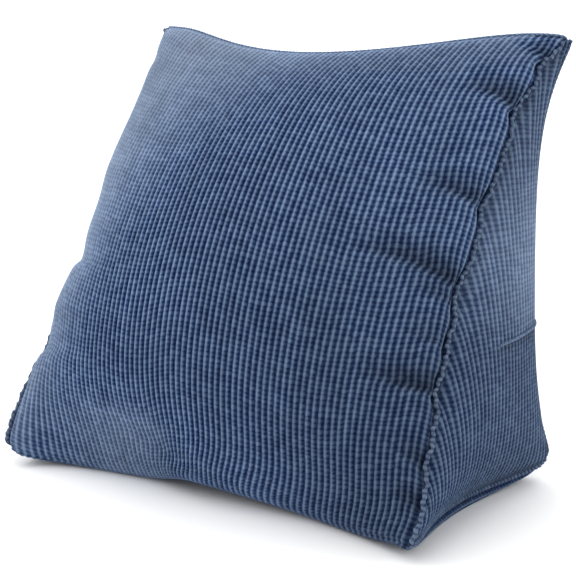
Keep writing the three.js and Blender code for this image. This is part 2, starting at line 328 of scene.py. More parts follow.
def pucker_height(u, v, puckers=PUCKERS):
    """Each pucker is a crease with a short steep wall below it and a long slope above it. It
    climbs by climb * (1 - exp(-inward / bend)), opens within 4 mm of the seam and fades as the
    squared cosine of the way to its reach."""
    total = np.zeros(np.broadcast(u, v).shape)
    for p in puckers:
        inward = (1 - u if p["side"] > 0 else u) * WIDTH
        climb = p["climb"] * (1 - np.exp(-inward / PUCKER_BEND))
        above = (v - p["along"]) * SLANT_LENGTH - climb
        width = np.where(above > 0, SLOPE_ABOVE, SLOPE_BELOW) * p["half"]
        fade = np.cos(np.pi / 2 * np.clip(inward / p["reach"], 0, 1)) ** 2
        opened = 1 - np.exp(-inward / PUCKER_OPENING)
        total -= p["depth"] * np.exp(-(above / width) ** 2) * fade * opened
    return total


print("creases:", sum(p["depth"] > 0 for p in PUCKERS), "on both sides together")

# %% Where a pucker meets its seam
HOLLOW_DEPTH, HOLLOW_HEIGHT, HOLLOW_WIDTH, HOLLOW_LEAN = 4.0, 11.0, 12.0, 0.6
TUCK_DEPTH, TUCK_HEIGHT, TUCK_REACH = 3.2, 12.0, 16.0
FULL_DEPTH = 5.0


def beside(v, side, height):
    """How near each place on a slant seam is to a pucker, from 0 to about 1: the sum of
    exp(-(gap / height) ** 2), weighed by the pucker's depth."""
    rows = [p for p in PUCKERS if p["side"] == side and p["depth"] > 0]
    return sum(p["depth"] / FULL_DEPTH
               * np.exp(-((v - p["along"]) * SLANT_LENGTH / height) ** 2) for p in rows)


def tucked(points, v, distance, side):
    """At each pucker the seam itself is drawn in, and the pull fades with the distance."""
    pull = TUCK_DEPTH * beside(v, side, TUCK_HEIGHT) * np.exp(-distance / TUCK_REACH)
    points[..., 0] -= side * pull
    return points


def hollow(v, distance, side):
    """Beside each pucker the cloth next to the seam is sucked into a short dark hollow, whose
    depth goes as sin(pi * way ** lean) from the seam to its far edge."""
    way = np.clip(distance / HOLLOW_WIDTH, 0, 1)
    return -HOLLOW_DEPTH * beside(v, side, HOLLOW_HEIGHT) * np.sin(np.pi * way ** HOLLOW_LEAN)


print("a hollow reaches", HOLLOW_WIDTH, "mm in from its seam")

# %% The fold at the foot of the face
# It runs from the middle of the front seam up to the left. Its ends are (u, v) on the face.
FOLD_START, FOLD_END, FOLD_DEPTH, FOLD_HALF = (0.62, 0.0), (0.27, 0.10), 5.0, 9.0


def fold_height(u, v):
    """A trough along a straight line between two places on the face: its depth falls off with
    the squared distance from the line, and as a root of a cosine to nothing at its far end."""
    size = np.array([WIDTH, SLANT_LENGTH])
    start, end = np.array(FOLD_START) * size, np.array(FOLD_END) * size
    run = end - start
    place = np.stack(np.broadcast_arrays(u * WIDTH, v * SLANT_LENGTH), -1) - start
    way = np.clip(place @ run / (run @ run), 0, 1)
    gap = np.linalg.norm(place - way[..., None] * run, axis=-1)
    return -FOLD_DEPTH * np.exp(-(gap / FOLD_HALF) ** 2) * np.cos(np.pi / 2 * way) ** 0.5


print("the fold is", FOLD_DEPTH, "mm deep where it leaves the seam")

# %% [markdown]
# ## Painted light and shade on the pile
#
# The cloth's colour carries painted light and painted shade. Where light is painted, the
# grooves fill up and pale tips show as a painted sheen. Where shade is painted, the cloth is
# dark. It could be painted by hand, but a sum of a few plain falls from the edges, the top and
# the foot does it with no picture. The value is above zero where painted light makes the cloth
# pale and below zero where painted shade makes it dark.

# %% Nap of the face
# Painted light and painted shade of the face: a dark start, painted light upwards, to the left, at
# the left edge, the top and the foot, and painted shade in the creases, beside the right seam and
# low on the right.
PAINTED_LIGHT_START, PAINTED_LIGHT_UP, PAINTED_LIGHT_LEFT = -0.41, 0.45, 0.70
PAINTED_EDGE_LIGHT, EDGE_FADE, PAINTED_TOP_LEFT_LIGHT, PAINTED_TOP_LIGHT = 0.75, 0.07, 0.42, 0.25
PAINTED_FOOT_LIGHT, FOOT_FADE = 0.45, 0.07
CREASE_SHADE_DEPTH, PAINTED_SEAM_SHADE, PAINTED_SEAM_SHADE_FADE, PAINTED_LOW_RIGHT_SHADE = 8.0, 0.7, 3.0, 0.3

# At: the middle of a patch of painted light as (u, v). Size: how far it spreads along u and v.
PAINTED_LIGHT_PATCHES = [
    dict(at=(0.36, 0.08), size=(0.18, 0.08), nap_and_painted_light=0.40),
    dict(at=(0.90, 0.62), size=(0.12, 0.22), nap_and_painted_light=0.12),
]


def patch(u, v, at, size):
    """One at its middle, falling off as exp(-(gap / size) ** 2) along each parameter."""
    return np.exp(-((u - at[0]) / size[0]) ** 2 - ((v - at[1]) / size[1]) ** 2)


def face_painted_light_and_shade(u, v, to_seam):
    """Painted light and shade on the face: painted light at the left edge, the top, the foot and
    in two patches; painted shade low on the face, in the creases and beside the right seam."""
    nap_and_painted_light = PAINTED_LIGHT_START + PAINTED_LIGHT_UP * v + PAINTED_LIGHT_LEFT * (1 - u) ** 3
    nap_and_painted_light = nap_and_painted_light + PAINTED_EDGE_LIGHT * np.exp(-u / EDGE_FADE) * ramp(v, -0.05, 0.45)
    nap_and_painted_light = nap_and_painted_light + PAINTED_TOP_LEFT_LIGHT * (1 - u) ** 1.5 * v ** 3 + PAINTED_TOP_LIGHT * v ** 12
    nap_and_painted_light = nap_and_painted_light + PAINTED_FOOT_LIGHT * np.exp(-v / FOOT_FADE) * ramp(u, 0.8, 0.65) * ramp(u, 0.1, 0.3)
    for row in PAINTED_LIGHT_PATCHES:
        nap_and_painted_light = nap_and_painted_light + row["nap_and_painted_light"] * patch(u, v, row["at"], row["size"])
    nap_and_painted_light = nap_and_painted_light + pucker_height(u, v, RIGHT_PUCKERS) / CREASE_SHADE_DEPTH
    nap_and_painted_light = nap_and_painted_light - PAINTED_LOW_RIGHT_SHADE * ramp(u, 0.7, 0.95) * (1 - v) ** 2
    return nap_and_painted_light - PAINTED_SEAM_SHADE * np.exp(-to_seam / PAINTED_SEAM_SHADE_FADE) * (u > 0.5)


print("nap at the face's middle:", round(float(face_painted_light_and_shade(0.5, 0.5, 200.0)), 2))

# %% [markdown]
# ## Grids
#
# The face, back and base share one wrap of columns, eight to a rib, that runs round the wedge.
# Five separate sheets would be simpler, but one wrap has no gap to hide between them. Each
# row's columns are parted evenly along the row's true length, so the ribs keep their pitch over
# the crown, as the threads of real cloth do. Near the front seam they are gathered towards its
# middle. The normals come from the grid itself, and the relief is added along them.

# %% Grid helpers
GATHER, GATHER_FADE, GATHER_LEAN = 0.03, 0.12, 0.7


def row_places(panel, v, count, gather=0.0):
    """Parameters that part a row evenly, by inverting its running length, then gathered towards
    one place by gather * sin(2 pi * even ** lean)."""
    fine = np.linspace(0, 1, 4 * count + 1)
    points = panel(fine, np.full_like(fine, v))
    length = np.concatenate([[0], np.cumsum(np.linalg.norm(np.diff(points, axis=0), axis=1))])
    even = np.interp(np.linspace(0, length[-1], count + 1), length, fine)
    return even + gather * np.sin(2 * np.pi * even ** GATHER_LEAN)


def normals(points):
    """Unit normals of a grid: the cross product of its two running differences."""
    raw = np.cross(np.gradient(points, axis=1), np.gradient(points, axis=0))
    return raw / np.maximum(np.linalg.norm(raw, axis=-1, keepdims=True), 1e-9)


def eased(count, crowd=0.35):
    """Places from 0 to 1, closer together near both ends: a blend of even and cosine steps."""
    even = np.linspace(0, 1, count + 1)
    return (1 - crowd) * even + crowd * (0.5 - 0.5 * np.cos(np.pi * even))


def running(points, axis):
    """Distance run along one axis of a grid, starting from zero."""
    step = np.linalg.norm(np.diff(points, axis=axis), axis=-1)
    start = np.zeros_like(np.take(step, [0], axis=axis))
    return np.concatenate([start, np.cumsum(step, axis=axis)], axis=axis)


def both_ways(run, axis):
    """Distance to the nearer end of each line of a grid."""
    return np.minimum(run, np.take(run, [-1], axis=axis) - run)


print("first steps of an eased row:", eased(190)[:3].round(4))

# %% Faces of a grid, and of the strip between two rows
def quads(grid):
    """Quads of a grid of point numbers."""
    corners = [grid[:-1, :-1], grid[:-1, 1:], grid[1:, 1:], grid[1:, :-1]]
    return np.stack(corners, -1).reshape(-1, 4)


def zipped(row_a, row_b):
    """Triangles between two rows of point numbers that run side by side: each step along one
    row makes a triangle with the point that the other row has then reached."""
    part_a = np.arange(1, len(row_a)) / (len(row_a) - 1)
    part_b = np.arange(1, len(row_b)) / (len(row_b) - 1)
    reached_b = np.searchsorted(part_b, part_a - 1e-9)
    reached_a = np.searchsorted(part_a, part_b + 1e-9)
    steps_a = np.stack([row_a[:-1], row_a[1:], row_b[reached_b]], -1)
    steps_b = np.stack([row_a[np.minimum(reached_a, len(row_a) - 1)], row_b[1:], row_b[:-1]], -1)
    return np.concatenate([steps_a, steps_b])


print("a strip between rows of 3 and 5 points:", len(zipped(np.arange(3), np.arange(5))), "faces")

# %% The wrap: face, back and base
COLUMNS = RIBS_ACROSS * STEPS_PER_RIB
FACE_ROWS, BACK_ROWS, BASE_ROWS = 190, 110, 24
KERNEL = 4.2
# PLAIN_SHADE is painted shade on the back and base; the other two bound the painted light and
# painted shade.
PLAIN_SHADE, PAINTED_LIGHT_MOST, SHADE_MOST = -0.4, 0.78, -1.5
SOFT_NAP, SOFT_START, SOFT_END = 0.11, 0.55, 0.85
LEFT_HALF, RIGHT_HALF = np.s_[:, :COLUMNS // 2], np.s_[:, COLUMNS // 2:]
rib_count = np.linspace(0, RIBS_ACROSS, COLUMNS + 1)[None, :]


def wrapped(panel, rows, out, puckers=False):
    """A panel's fine grid: its smooth points, raised by ribs and puckers, cut by the valleys.
    Out is 1 where the grid's normals point outward and -1 where they point in. Returns the
    points and their cloth: the place in ribs and in kernels, the value above zero, which is
    painted light that fills the grooves and pales the tips, and the value below zero, which is
    painted shade. The back and base carry one plain painted shade. The right half is a little
    softer than its painted light says."""
    gathers = GATHER * np.exp(-rows / GATHER_FADE) if puckers else 0 * rows
    places = np.stack([row_places(panel, v, COLUMNS, g) for v, g in zip(rows, gathers)])
    v_grid = np.broadcast_to(rows[:, None], places.shape)
    smooth = panel(places, v_grid)
    across, along = running(smooth, 1), running(smooth, 0)
    near_side, near_end = both_ways(across, 1), both_ways(along, 0)
    hollows = np.zeros(places.shape)
    # The back and base carry one plain painted shade; the face carries its own painted light and
    # shade.
    nap_and_painted_light = np.full(places.shape, PLAIN_SHADE)
    if puckers:
        sunk = pucker_height(places, v_grid) + fold_height(places, v_grid)
        smooth = smooth + SLANT_OUT * sunk[..., None]
        for half, side in ((LEFT_HALF, -1), (RIGHT_HALF, 1)):
            smooth[half] = tucked(smooth[half], v_grid[half], near_side[half], side)
            hollows[half] = hollow(v_grid[half], near_side[half], side)
        nap_and_painted_light = face_painted_light_and_shade(places, v_grid, near_side)
    fade = ramp(near_side, 0, RIB_FADE) * ramp(near_end, 0, END_FADE)
    height = RIB_RELIEF * (rib(rib_count) - 0.5) * fade + hollows
    height = height + valley(near_side) + END_VALLEY * valley(near_end)
    height = out * height * ramp(smooth[..., 2], 0, FLOOR_FADE)
    points = smooth + normals(smooth) * height[..., None]
    pale = np.clip(nap_and_painted_light, 0, PAINTED_LIGHT_MOST) + SOFT_NAP * ramp(places, SOFT_START, SOFT_END)
    ribs = np.broadcast_to(rib_count, places.shape)
    return points, np.stack([ribs, along / KERNEL, pale, np.clip(nap_and_painted_light, SHADE_MOST, 0)], -1)


face, face_cloth = wrapped(face_point, eased(FACE_ROWS), 1, puckers=True)
back, back_cloth = wrapped(back_point, eased(BACK_ROWS), -1)
base, base_cloth = wrapped(base_point, eased(BASE_ROWS), -1)
wrap = np.concatenate([face, back[::-1][1:], base[::-1][1:-1]])
wrap_cloth = np.concatenate([face_cloth, back_cloth[::-1][1:], base_cloth[::-1][1:-1]])
wrap[..., 2] = np.maximum(wrap[..., 2], 0)
wrap_ids = np.arange(wrap.shape[0] * wrap.shape[1]).reshape(wrap.shape[:2])
wrap_quads = quads(np.concatenate([wrap_ids, wrap_ids[:1]]))
print("wrap:", wrap.shape[0], "rows of", COLUMNS, "columns,", len(wrap_quads), "quads")

# %% A side panel's grid
SIDE_ROWS, SIDE_COLUMNS = 90, RIBS_SIDE * STEPS_PER_RIB
SIDE_FRONT_EDGE, SIDE_BACK_EDGE, SEAM_INSET, INSET_MOST = 0.02, 0.992, 1.6, 0.2

# The closure starts on the side panel. Above it the cloth is painted paler, as painted light, and
# a painted shadow lies just under its lip.
CLOSURE_HEIGHT, CLOSURE_START, CLOSURE_END = 146.0, 0.60, 0.992
# Painted shade over the side panel, painted light in a band above the closure and towards the
# back, and painted shade at its seams and as a shadow under the closure's lip.
LIP_SHADOW_DROP, LIP_SHADOW_WIDTH, LIP_SHADOW_DARK = 3.5, 2.5, 0.5
SIDE_SHADE, SIDE_PALE, SIDE_PALE_HEIGHT, SIDE_PALE_REACH = -0.48, 0.40, 205.0, 85.0
SIDE_NAP, SIDE_PAINTED_BACK_LIGHT, SIDE_PAINTED_BAND_LIGHT = 0.12, 0.14, 0.42
STEP_SHARP, STEP_SOFT, SIDE_SEAM_DARK, SIDE_SEAM_FADE = 12, 150, 0.6, 3.0


def side_cloth(w, h, count, tall, to_slant, z):
    """The side panel's cloth. It carries painted shade, and painted light round one height above
    the closure: shade + pale * exp(-((z - height) / reach) ** 2). The change is sharp at the
    closure and soft in front of it. The seams are darker with painted shade, and a line just
    under the closure's lip with a painted shadow. The grooves fill more towards the back and in
    the painted light."""
    step = STEP_SHARP + STEP_SOFT * ramp(w, 0.75, 0.5)
    upper = ramp((z - CLOSURE_HEIGHT) / step, -0.5, 0.5) * (0.4 + 0.6 * w ** 2)
    pale = upper * np.exp(-((z - SIDE_PALE_HEIGHT) / SIDE_PALE_REACH) ** 2)
    seams = np.exp(-to_slant / SIDE_SEAM_FADE) + np.exp(-h * tall / SIDE_SEAM_FADE)
    lip_shadow = np.exp(-((z - CLOSURE_HEIGHT + LIP_SHADOW_DROP) / LIP_SHADOW_WIDTH) ** 2)
    shade = SIDE_SHADE + SIDE_PALE * pale - SIDE_SEAM_DARK * seams
    shade = shade - LIP_SHADOW_DARK * lip_shadow * (w > CLOSURE_START)
    nap_and_painted_light = SIDE_NAP + w ** 1.5 * (SIDE_PAINTED_BACK_LIGHT + SIDE_PAINTED_BAND_LIGHT * pale)
    return np.stack([np.broadcast_to(count, h.shape), h * tall / KERNEL, nap_and_painted_light, shade], -1)


def side_grid(side):
    """A side panel's fine grid, inset a little from its seams, and its cloth. It is worked out
    as if it were the right one, with the left one's own ears and puckers."""
    places = np.linspace(SIDE_FRONT_EDGE, SIDE_BACK_EDGE, SIDE_COLUMNS + 1)
    tall = np.linalg.norm(slant_seam(places) - floor_seam(places), axis=-1)
    inset = np.minimum(INSET_MOST, SEAM_INSET / tall)
    rise = np.linspace(0, 1, SIDE_ROWS + 1)[:, None]
    h = inset[None, :] + (1 - 2 * inset)[None, :] * rise
    w = np.broadcast_to(places[None, :], h.shape)
    to_slant = (1 - h) * tall * DEPTH / SLANT_LENGTH
    smooth = tucked(side_point(w, h, side), w, to_slant, side) * [side, 1, 1]
    near = np.minimum(np.minimum(h * tall, to_slant), (1 - w) * DEPTH)
    count = np.linspace(0, RIBS_SIDE, SIDE_COLUMNS + 1)[None, :]
    height = SIDE_RELIEF * (rib(count) - 0.5) * ramp(near, 0, RIB_FADE)
    height = height + SIDE_VALLEY * valley(near)
    points = smooth + normals(smooth) * height[..., None]
    return points, side_cloth(w, h, count, tall, to_slant, points[..., 2])


print("side panel:", SIDE_ROWS, "rows of", SIDE_COLUMNS, "columns")

# %% The side panels, sewn to the ends of the wrap
top_row, back_row = FACE_ROWS, FACE_ROWS + BACK_ROWS
points, cloth = [wrap.reshape(-1, 3)], [wrap_cloth.reshape(-1, 4)]
four_sided, three_sided = [wrap_quads], []
first = wrap_ids.size
for rim, side in ((wrap_ids[:, -1], 1), (wrap_ids[:, 0], -1)):
    panel, panel_cloth = side_grid(side)
    grid = first + np.arange(panel.shape[0] * panel.shape[1]).reshape(panel.shape[:2])
    own = quads(grid)
    sewn = np.concatenate([
        zipped(grid[-1], rim[:top_row + 1]),
        zipped(grid[::-1, -1], rim[top_row:back_row + 1]),
        zipped(grid[0, ::-1], np.append(rim[back_row:], rim[0])),
        np.stack([grid[:-1, 0], grid[1:, 0], np.full(SIDE_ROWS, rim[0])], -1),
    ])
    if side < 0:
        own, sewn = own[:, ::-1], sewn[:, ::-1]
    points.append((panel * [side, 1, 1]).reshape(-1, 3))
    cloth.append(panel_cloth.reshape(-1, 4))
    four_sided.append(own)
    three_sided.append(sewn)
    first += grid.size
points, cloth = np.concatenate(points), np.concatenate(cloth)
four_sided, three_sided = np.concatenate(four_sided), np.concatenate(three_sided)
points[:, 2] = np.maximum(points[:, 2], 0)
print("cushion:", len(points), "points,", 2 * len(four_sided) + len(three_sided), "triangles")

# %% [markdown]
# ## Into the frame
#
# The solids stand with the floor at zero and the middle of the whole pillow's box at the origin.
# The cushion's foremost point sets the shift along Y here, which leaves the form untouched,
# where scaling it to the box would have changed the ribs' pitch.

# %% Make the cushion's mesh
low_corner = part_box("cushion")[0]
SHIFT_Y = low_corner[1] / MM - points[:, 1].min()


def make_mesh(name, points_mm, faces, weave=None):
    """A smooth-shaded mesh object at the origin, from millimetre points and lists of faces. The
    weave has four columns: the first two become the UV map, in ribs and kernels, and the last
    two the attributes nap_and_painted_light and shade, which carry painted light with the groove
    fill, and painted shade."""
    mesh = bpy.data.meshes.new(name)
    sizes = np.concatenate([np.full(len(group), group.shape[1]) for group in faces])
    corners = np.concatenate([group.ravel() for group in faces]).astype(np.int32)
    mesh.vertices.add(len(points_mm))
    mesh.loops.add(len(corners))
    mesh.polygons.add(len(sizes))
    placed = (points_mm + [0, SHIFT_Y, 0]) * MM
    mesh.vertices.foreach_set("co", placed.astype(np.float32).ravel())
    mesh.loops.foreach_set("vertex_index", corners)
    starts = np.concatenate([[0], np.cumsum(sizes)[:-1]]).astype(np.int32)
    mesh.polygons.foreach_set("loop_start", starts)
    mesh.polygons.foreach_set("use_smooth", np.ones(len(sizes), bool))
    if weave is not None:
        layer = mesh.uv_layers.new(name="cloth")
        layer.uv.foreach_set("vector", weave[corners, :2].astype(np.float32).ravel())
        for title, column in (("nap_and_painted_light", 2), ("shade", 3)):
            layer = mesh.attributes.new(title, "FLOAT", "POINT")
            layer.data.foreach_set("value", weave[:, column].astype(np.float32))
    mesh.update(calc_edges=True)
    mesh.validate()
    made = bpy.data.objects.new(name, mesh)
    bpy.context.scene.collection.objects.link(made)
    return made


cushion = make_mesh("corduroy_cushion", points, [four_sided, three_sided], cloth)
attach(cushion, "root")
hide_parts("cushion")
print("shift along Y:", round(SHIFT_Y, 2), "mm")

# %% [markdown]
# ## Seam ridges
#
# Where two panels are sewn together, the cut ribs of both stand up in a thin ragged ridge. It
# could be raised in the cushion's own mesh, but that would need far finer rows there. So it is
# a tube along each seam, whose radius swells and shrinks once for each kernel of the cloth, and
# which wanders a little to both sides.

# %% Tubes along paths
# The first value is a place well inside the filling, from which outward is reckoned.
MIDDLE, TUBE_STEP = np.array([0.0, 30.0, 130.0]), 0.8
TUBE_END_SIZE, TUBE_END_RUN = 0.3, 3.0
WANDER_SHORT, WANDER_LONG = 1.6, 4.3
LUMP_LOW, LUMP_RISE, TUBE_NAP = 0.2, 0.2, 0.3


def resampled(path, step):
    """The path's points again, evenly parted."""
    run = running(path, 0)
    even = np.linspace(0, run[-1], max(2, int(run[-1] / step)) + 1)
    return np.stack([np.interp(even, run, path[:, axis]) for axis in range(3)], -1), even


def directions(centre):
    """Unit directions at each point of a path: away from the filling and aside."""
    ahead = np.gradient(centre, axis=0)
    ahead /= np.linalg.norm(ahead, axis=1, keepdims=True)
    away = centre - MIDDLE
    away -= ahead * (away * ahead).sum(1, keepdims=True)
    away /= np.linalg.norm(away, axis=1, keepdims=True)
    return away, np.cross(ahead, away)


def lumpy_tube(path, radii, lump, period, shade, wander=0.0, sides=8):
    """Rings round a path: radius * (1 - lump + lump * |sin(pi * run / period)|), thinner at
    both ends, which are closed by a middle point. Radii are the one away from the filling and
    the one aside. The path wanders to both sides of the seam by the mean of two sines. Each
    lump is pale on top and darker between, as |sin(pi * run / period)| too."""
    centre, run = resampled(path, TUBE_STEP)
    away, aside = directions(centre)
    size = 1 - lump + lump * np.abs(np.sin(np.pi * run / period))
    to_end = np.minimum(run, run[-1] - run)
    size *= np.clip(to_end / TUBE_END_RUN + TUBE_END_SIZE, 0, 1)
    angle = np.linspace(0, 2 * np.pi, sides, endpoint=False)
    sway = (np.sin(run / WANDER_SHORT) + np.sin(run / WANDER_LONG + 1)) / 2
    centre = centre + aside * (wander * sway)[:, None]
    ring = (away[:, None] * (radii[0] * np.cos(angle))[None, :, None]
            + aside[:, None] * (radii[1] * np.sin(angle))[None, :, None])
    grid = centre[:, None] + ring * size[:, None, None]
    ids = np.arange(grid.shape[0] * sides).reshape(grid.shape[:2])
    body = quads(np.concatenate([ids, ids[:, :1]], 1))
    start, end = ids.size, ids.size + 1
    caps = np.concatenate([
        np.stack([np.roll(ids[0], -1), ids[0], np.full(sides, start)], -1),
        np.stack([ids[-1], np.roll(ids[-1], -1), np.full(sides, end)], -1),
    ])
    both = np.concatenate([grid.reshape(-1, 3), centre[:1], centre[-1:]])
    count = np.broadcast_to(run[:, None] / period, ids.shape)
    count = np.concatenate([count.ravel(), [0, run[-1] / period]])
    lumps = LUMP_LOW + LUMP_RISE * np.abs(np.sin(np.pi * count))
    return both, body, caps, np.stack([lumps, count, TUBE_NAP + 0 * count, shade + 0 * count], -1)


def joined(parts):
    """Several tubes as one set of points and faces."""
    offsets = np.cumsum([0] + [len(part[0]) for part in parts[:-1]])
    moved = [np.concatenate([part[0] for part in parts])]
    for kind in (1, 2):
        moved.append(np.concatenate([part[kind] + o for part, o in zip(parts, offsets)]))
    return moved[0], moved[1], moved[2], np.concatenate([part[3] for part in parts])


print("rings round a tube are", TUBE_STEP, "mm apart")

# %% Ridges along the seams that show
# The ridges along the slant, upright and floor seams carry painted shade, and the top ridge a
# little painted light.
RIDGE_LUMP, RIDGE_PERIOD, RIDGE_WANDER, RIDGE_SHADE = 0.35, 4.6, 1.8, -0.4
SLANT_RADII, UPRIGHT_RADII, FLOOR_RADII, TOP_RADII = (2.1, 1.7), (1.2, 1.0), (2.3, 2.0), (1.0, 0.9)
TOP_SHADE, RIDGE_LOWEST = 0.15, 0.3
ridges = []
for column in (0, -1):
    slant, upright = wrap[:top_row + 1, column], wrap[top_row:back_row + 1, column]
    low = wrap[back_row:, column]
    ridges.append(lumpy_tube(slant, SLANT_RADII, RIDGE_LUMP, RIDGE_PERIOD, RIDGE_SHADE,
                             wander=RIDGE_WANDER))
    ridges.append(lumpy_tube(upright, UPRIGHT_RADII, RIDGE_LUMP, KERNEL, RIDGE_SHADE))
    ridges.append(lumpy_tube(low, FLOOR_RADII, RIDGE_LUMP, KERNEL, RIDGE_SHADE))
ridges.append(lumpy_tube(wrap[top_row], TOP_RADII, RIDGE_LUMP, KERNEL, TOP_SHADE))
ridge_points, ridge_quads, ridge_caps, ridge_cloth = joined(ridges)
ridge_points[:, 2] = np.maximum(ridge_points[:, 2], RIDGE_LOWEST)
ridge = make_mesh("seam_ridges", ridge_points, [ridge_quads, ridge_caps], ridge_cloth)
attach(ridge, "root")
print("seam ridges:", 2 * len(ridge_quads) + len(ridge_caps), "triangles")

# %% [markdown]
# ## Closure
#
# The cover opens round the back, along a level line that starts on each side panel. What shows
# is the folded edge of the opening: a narrow lip of cloth, with a painted shadow under it on the
# side panels. It could be a flat strip laid on the cloth, but a strip would have to be bent to
# the swell, and a lumpy tube along a line found on the panels themselves follows it by nature.

# %% The closure's lip
# The lip carries a little painted shade.
LIP_RADII, LIP_LUMP, LIP_PERIOD, LIP_SHADE, LIP_OUT = (1.3, 1.5), 0.45, 2.8, -0.15, 0.8
LIP_SIDE_POINTS, LIP_BACK_POINTS, LIP_CORNER = 40, 160, 0.02


def side_at_height(w, z):
    """Point of the right side panel at a height: h solves the straight line for z."""
    low, high = floor_seam(w)[..., 2], slant_seam(w)[..., 2]
    return side_point(w, (z - low) / (high - low))


def back_at_height(u, z):
    """Point of the back panel at a height, in the same way."""
    return back_point(u, (z - EAR_LIFT) / (top_seam(u)[..., 2] - EAR_LIFT))


def closure_line(z, out):
    """Level line round the back, moved out of the cloth, from the right side to the left. Its
    points on the back are parted by a cosine, which crowds them at the corners."""
    places = np.linspace(CLOSURE_START, CLOSURE_END, LIP_SIDE_POINTS)
    turn = np.linspace(LIP_CORNER, np.pi - LIP_CORNER, LIP_BACK_POINTS)
    side = side_at_height(places, z) + [out, 0, 0]
    across = back_at_height(0.5 + 0.5 * np.cos(turn), z) + [0, out, 0]
    return np.concatenate([side, across, side[::-1] * MIRROR])


lip_path = closure_line(CLOSURE_HEIGHT, LIP_OUT)
lip = lumpy_tube(lip_path, LIP_RADII, LIP_LUMP, LIP_PERIOD, LIP_SHADE, sides=10)
closure = make_mesh("closure_lip", lip[0], [lip[1], lip[2]], lip[3])
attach(closure, "root")
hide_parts("closure_strip")
print("closure's lip:", 2 * len(lip[1]) + len(lip[2]), "triangles")

# %% [markdown]
# ## Materials
#
# The cloth is chenille corduroy, woven in polyester: tufted ribs on a dark ground, each rib
# broken into kernels by the weft. The eye gets pale ridges, dark grooves and a soft bloom of
# light at the edges. The dark of the grooves is partly the ground's own colour and partly
# painted shade, and the bloom is partly the shader's sheen and partly painted sheen and light.
# It could be photographed and laid on, but a pattern counted in ribs and kernels on the piece's
# own UV map keeps to the relief.
# The fuzz is drawn as lumps 1.4 mm wide. Real fibres are far thinner and wouldn't show.

# %% Node helper and colours
def linear(code):
    """An sRGB hex colour such as #4C5D79 as linear RGBA."""
    parts = [int(code[i:i + 2], 16) / 255 for i in (1, 3, 5)]
    return [p / 12.92 if p <= 0.04045 else ((p + 0.055) / 1.055) ** 2.4 for p in parts] + [1.0]


def node(tree, kind, inputs=None, **settings):
    """Adds a node and returns its first output. Inputs maps a socket to a value or to the output
    it is linked from."""
    made = tree.nodes.new(kind)
    for name, value in settings.items():
        setattr(made, name, value)
    for socket, value in (inputs or {}).items():
        if isinstance(value, bpy.types.NodeSocket):
            tree.links.new(value, made.inputs[socket])
        else:
            made.inputs[socket].default_value = value
    return made.outputs[0] if made.outputs else made


# Tones of the tufts from the dark ground to the tips; the dark in the grooves is partly the
# ground's own colour and partly painted shade.
GROUND, TUFT_LOW, TUFT, TUFT_TIP = "#06163A", "#24395F", "#4B5F80", "#6C8099"
# A pale colour mixed in as painted light and sheen, by a share that grows with the painted light.
PAINTED_LIGHT_COLOUR, PAINTED_LIGHT_SHARE, PAINTED_LIGHT_FROM = "#AEB8C6", 0.34, 0.15
MATH, RANGE, NOISE = "ShaderNodeMath", "ShaderNodeMapRange", "ShaderNodeTexNoise"
print("a tuft's own colour in linear light:", [round(part, 3) for part in linear(TUFT)])

# %% Ribs and kernels of the corduroy
RIDGE_RISE, GAP_WIDTH = (0.08, 0.48), 0.4
RIB_START, WANDER_SIZE, WANDER_SCALE = 0.15, 2.0, 0.12


def kernel_pattern(tree, cloth_place, ribs, kernels):
    """Ridge is 1 on a rib and 0 in a groove, and gap is 1 between two kernels and 0 on one. The
    kernels start at their own place in each rib: kernels + 0.15 * the rib's random number + 2 *
    a slow noise. The last output is each kernel's own random number."""
    own_rib = node(tree, MATH, {0: ribs}, operation="FLOOR")
    per_rib = node(tree, "ShaderNodeTexWhiteNoise", {"W": own_rib}, noise_dimensions="1D")
    wander = node(tree, NOISE, {"Vector": cloth_place, "Scale": WANDER_SCALE, "Detail": 1.0})
    shifted = node(tree, MATH, {0: per_rib, 1: RIB_START, 2: kernels}, operation="MULTIPLY_ADD")
    shifted = node(tree, MATH, {0: wander, 1: WANDER_SIZE, 2: shifted}, operation="MULTIPLY_ADD")
    ridge_way = node(tree, MATH, {0: ribs, 1: 0.5}, operation="PINGPONG")
    kernel_way = node(tree, MATH, {0: shifted, 1: 0.5}, operation="PINGPONG")
    ridge = node(tree, RANGE, {0: ridge_way, 1: RIDGE_RISE[0], 2: RIDGE_RISE[1]},
                 interpolation_type="SMOOTHSTEP")
    gap = node(tree, RANGE, {0: kernel_way, 1: 0.0, 2: GAP_WIDTH, 3: 1.0, 4: 0.0},
               interpolation_type="SMOOTHSTEP")
    own_kernel = node(tree, MATH, {0: shifted}, operation="FLOOR")
    cell = node(tree, "ShaderNodeCombineXYZ", {0: own_rib, 1: own_kernel})
    per_kernel = node(tree, "ShaderNodeTexWhiteNoise", {"Vector": cell}, noise_dimensions="2D")
    return ridge, gap, per_kernel


print("kernels are", KERNEL, "mm long")

# %% Tone of the corduroy
FILL_MOST, FLOOR_TONE, FLOOR_FILL = 0.66, 0.24, 0.65
DOT_GROOVE, DOT_RIDGE, DOT_HIDDEN = 0.85, 0.22, -0.6
KERNEL_UNEVEN, FIBRE_UNEVEN = 0.13, 0.28


